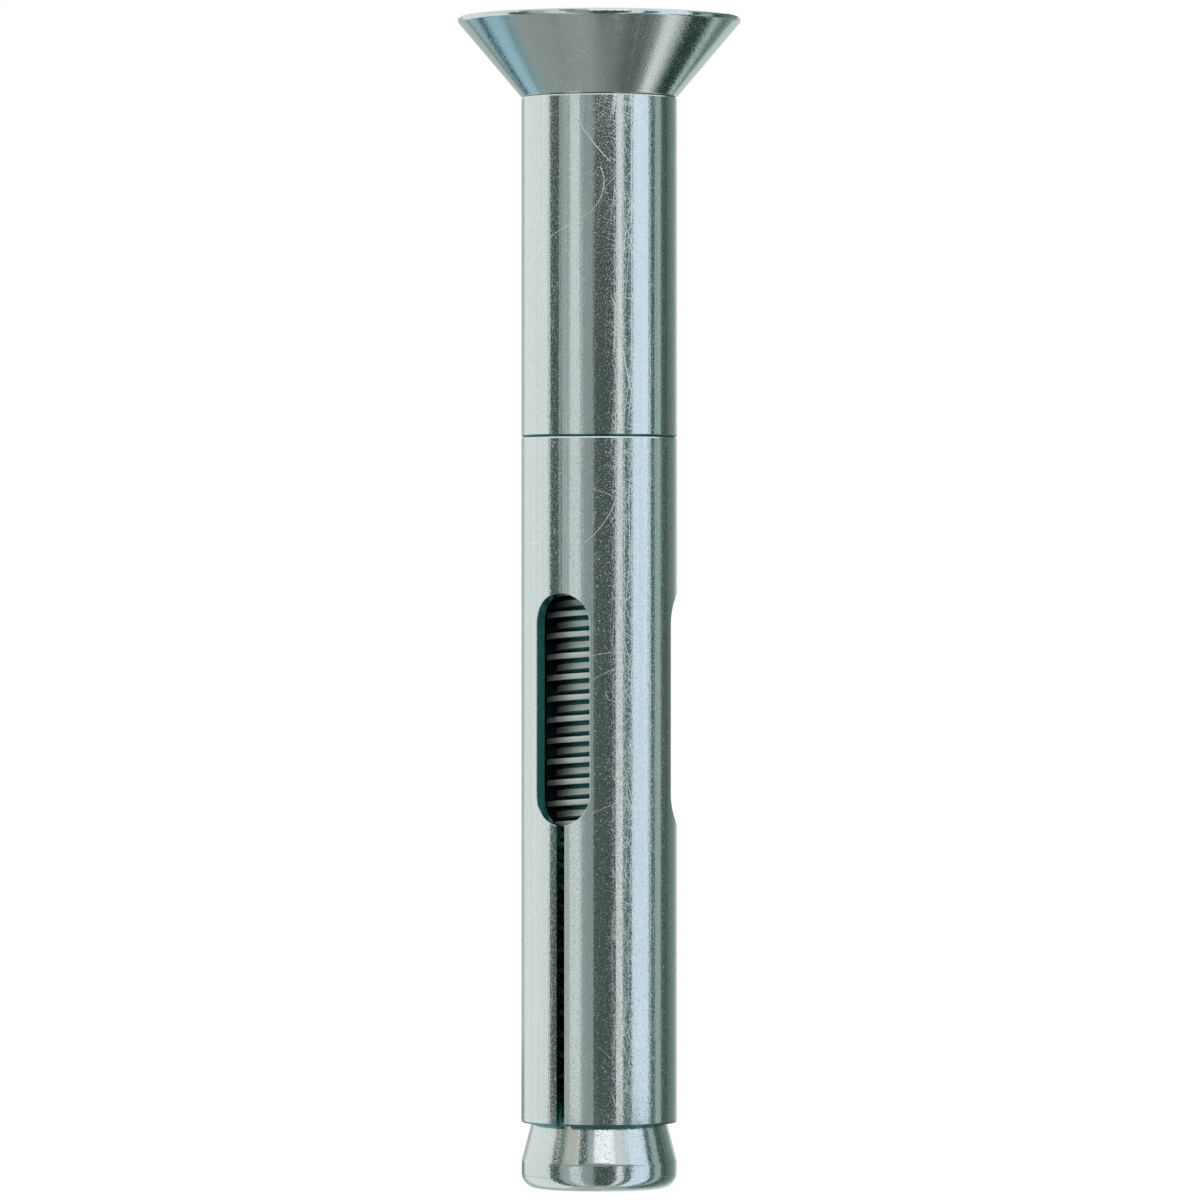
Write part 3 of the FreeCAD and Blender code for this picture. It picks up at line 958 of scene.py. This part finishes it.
# a second row above them, which the nut's cone sees
upperCards = [
    {"name": "upperBeige", "turn": (-105, -67), "tone": (0.92, 0.86, 0.76)},
    {"name": "upperLeftDark", "turn": (-67, -57), "tone": (0.24, 0.29, 0.26)},
    {"name": "upperSand", "turn": (-57, -36), "tone": (0.66, 0.63, 0.55)},
    {"name": "upperFrontDark", "turn": (-33, -20), "tone": (0.12, 0.15, 0.14)},
    {"name": "upperGrey", "turn": (-20, -8), "tone": (0.42, 0.50, 0.49)},
    {"name": "upperWhite", "turn": (-8, 24), "tone": (1.42, 1.38, 1.42)},
    {"name": "upperPale", "turn": (24, 48), "tone": (0.88, 0.92, 0.94)},
    {"name": "upperSky", "turn": (48, 76), "tone": (0.98, 1.08, 1.18)},
    {"name": "upperRightDark", "turn": (77, 160), "tone": (0.12, 0.20, 0.18)},
]

# strips side by side round the foot, which the head's cone sees: where each one ends on its right, in mm;
# one with steps fades into its tone from the tone of the strip before it
stripsStart = -135
strips = [
    {"name": "stripFarLeft", "end": -112, "tone": (0.31, 0.37, 0.36)},
    {"name": "stripLeftBlue", "end": -100.5, "tone": (0.40, 0.58, 0.64)},
    {"name": "stripLeftTeal", "end": -93.5, "tone": (0.0, 0.05, 0.075)},
    {"name": "stripLeftSky", "end": -79, "tone": (0.43, 0.66, 0.75)},
    {"name": "stripLeftShade", "end": -73, "steps": 2, "tone": (0.20, 0.36, 0.39)},
    {"name": "stripMiddleLeft", "end": -66, "steps": 2, "tone": (0.39, 0.435, 0.42)},
    {"name": "stripMiddle", "end": -36, "steps": 4, "tone": (0.345, 0.375, 0.355)},
    {"name": "stripMiddleWarm", "end": -6, "steps": 3, "tone": (0.37, 0.395, 0.375)},
    {"name": "stripShade", "end": 32, "steps": 8, "tone": (0.125, 0.15, 0.135)},
    {"name": "stripDeepShade", "end": 40, "tone": (0.13, 0.16, 0.145)},
    {"name": "stripRising", "end": 50, "steps": 4, "tone": (0.31, 0.34, 0.32)},
    {"name": "stripSteep", "end": 55, "steps": 2, "tone": (0.88, 0.90, 0.87)},
    {"name": "stripPale", "end": 61.5, "tone": (0.92, 0.93, 0.90)},
    {"name": "stripFalling", "end": 74.5, "steps": 5, "tone": (0.045, 0.08, 0.065)},
    {"name": "stripDark", "end": 91.5, "tone": (0.025, 0.055, 0.042)},
    {"name": "stripThin", "end": 99.5, "tone": (0.60, 0.68, 0.64)},
    {"name": "stripRightGrey", "end": 112, "tone": (0.13, 0.20, 0.18)},
    {"name": "stripFarRight", "end": 135, "steps": 3, "tone": (0.80, 0.87, 0.85)},
]


def makeGlow(name, tone):
    material = bpy.data.materials.new(name)
    material.use_nodes = True
    tree = material.node_tree
    tree.nodes.clear()
    glow = addNode(tree, "ShaderNodeEmission", inputs={"Color": (*tone, 1), "Strength": 1.0})
    end = addNode(tree, "ShaderNodeOutputMaterial")
    tree.links.new(glow.outputs[0], end.inputs["Surface"])
    return material


# only reflections see a card, so it casts no shade and isn't in the picture
def setUpCard(piece, card):
    piece.data.materials.append(makeGlow(card["name"], card["tone"]))
    piece.visible_camera = False
    piece.visible_diffuse = False
    piece.visible_shadow = False
    piece.visible_transmission = False


# a line from one (radius, height) to another, swept round the anchor over the card's turn
def sweepCard(name, card, ends):
    start, end = card["turn"]
    piece = drawProfile(name, ends)
    bpy.ops.mesh.select_all(action="SELECT")
    steps = max(1, round((end - start) / studio["degreesPerStep"]))
    bpy.ops.mesh.spin(
        steps=steps, angle=-math.radians(end - start), center=(0, 0, 0), axis=(0, 0, 1))
    bpy.ops.object.mode_set(mode="OBJECT")
    piece.rotation_euler.z = math.radians(start + viewerAngle)
    workOn(piece)
    bpy.ops.object.transform_apply(rotation=True)
    setUpCard(piece, card)


def addPlane(name, low, high, height):
    clearSelection()
    middle = ((low[0] + high[0]) / 2, (low[1] + high[1]) / 2, height)
    bpy.ops.mesh.primitive_plane_add(size=1, location=middle)
    bpy.context.object.scale = (high[0] - low[0], high[1] - low[1], 1)
    return nameAndPlace(name)


edge = studio["radius"]
for card in standingCards:
    sweepCard(card["name"], card, [(edge, studio["cardLow"]), (edge, studio["cardHigh"])])
    low = studio["sectorHeight"]
    sweepCard(card["name"] + "Low", card, [(studio["sectorSoft"], low), (edge, low)])
    softer = {**card, "tone": Vector(card["tone"]).lerp(Vector(studio["softTone"]), studio["softness"])}
    sweepCard(card["name"] + "Soft", softer, [(studio["sectorInner"], low), (studio["sectorSoft"], low)])
for card in upperCards:
    sweepCard(card["name"], card, [(edge, studio["cardHigh"]), (edge, studio["upperHigh"])])
edgeCard = {"name": "cardLeftEdge", "turn": (-180, -148), "tone": (0.26, 0.32, 0.31)}
nearer = edge - studio["edgeNearer"]
sweepCard(edgeCard["name"], edgeCard, [(nearer, studio["sectorHeight"]), (nearer, studio["edgeHigh"])])
print("cards stand round the anchor")


# where a line of the strips' plane lands on the slope, seen from the head: (across, height)
def ontoSlope(across):
    fall = studio["slope"] * abs(across)
    eye = studio["headHeight"]
    scale = (eye - studio["slopeTop"]) / (eye - studio["stripHeight"] - fall)
    return scale, (across * scale, studio["slopeTop"] - fall * scale)


def laySlopedStrip(name, low, high):
    scale, nearLine = ontoSlope(low.x)
    farLine = ontoSlope(high.x)[1]
    piece = drawProfile(name, [nearLine, farLine])
    bpy.ops.mesh.select_all(action="SELECT")
    bpy.ops.mesh.extrude_region_move(TRANSFORM_OT_translate={"value": (0, (high.y - low.y) * scale, 0)})
    bpy.ops.object.mode_set(mode="OBJECT")
    piece.location.y = low.y * scale
    workOn(piece)
    bpy.ops.object.transform_apply(location=True)
    return piece


left = stripsStart
before = Vector(strips[0]["tone"])
for card in strips:
    steps = card.get("steps", 1)
    breadth = (card["end"] - left) / steps
    tone = Vector(card["tone"])
    for number in range(1, steps + 1):
        name = card["name"] + str(number)
        low = Vector((left * mm, studio["stripFront"]))
        high = Vector(((left + breadth) * mm, studio["stripBack"]))
        if low.x > studio["plateLeft"] - sameSpot and high.x < studio["plateRight"] + sameSpot:
            high.y = studio["plateBack"]
            scale = studio["plateScale"]
            piece = addPlane(name, low * scale, high * scale, studio["plateHeight"])
        else:
            if max(abs(low.x), abs(high.x)) < studio["innerStrips"]:
                high.y = studio["innerBack"]
            piece = laySlopedStrip(name, low, high)
        setUpCard(piece, {"name": piece.name, "tone": before.lerp(tone, number / steps)})
        left += breadth
    before = tone
print("strips lie round the foot")

half = studio["floorHalf"]
floor = addPlane("floor", (-half, -half), (half, half), 0)
floor.visible_glossy = False  # the metal shows the white world and the cards there
floorPaint = bpy.data.materials.new("floorPaint")
floorPaint.use_nodes = True
paint = floorPaint.node_tree.nodes["Principled BSDF"]
paint.inputs["Base Color"].default_value = (*[studio["floorGrey"]] * 3, 1)
paint.inputs["Roughness"].default_value = 1.0
paint.inputs["Specular IOR Level"].default_value = 0.0
paint.inputs["Emission Color"].default_value = (1, 1, 1, 1)
paint.inputs["Emission Strength"].default_value = studio["floorGlow"]
floor.data.materials.append(floorPaint)

world = bpy.data.worlds.new("studioWorld")
bpy.context.scene.world = world
world.use_nodes = True
sky = world.node_tree.nodes["Background"]
sky.inputs["Color"].default_value = (1, 1, 1, 1)
sky.inputs["Strength"].default_value = 1.0

viewing = {
    "distance": 0.510,
    "side": 0.0000486,
    "height": 0.03565,
    "lens": 251.9,
    "sensor": 36,
    "nearest": 0.01,
}

clearSelection()
bpy.ops.object.camera_add(
    location=(viewing["side"], -viewing["distance"], viewing["height"]), rotation=(math.pi / 2, 0, 0))
camera = bpy.context.object
camera.data.sensor_width = viewing["sensor"]
camera.data.lens = viewing["lens"]
camera.data.clip_start = viewing["nearest"]
camera.data.dof.use_dof = False
bpy.context.scene.camera = camera
bpy.context.scene.view_settings.view_transform = "Standard"

print("scene made")
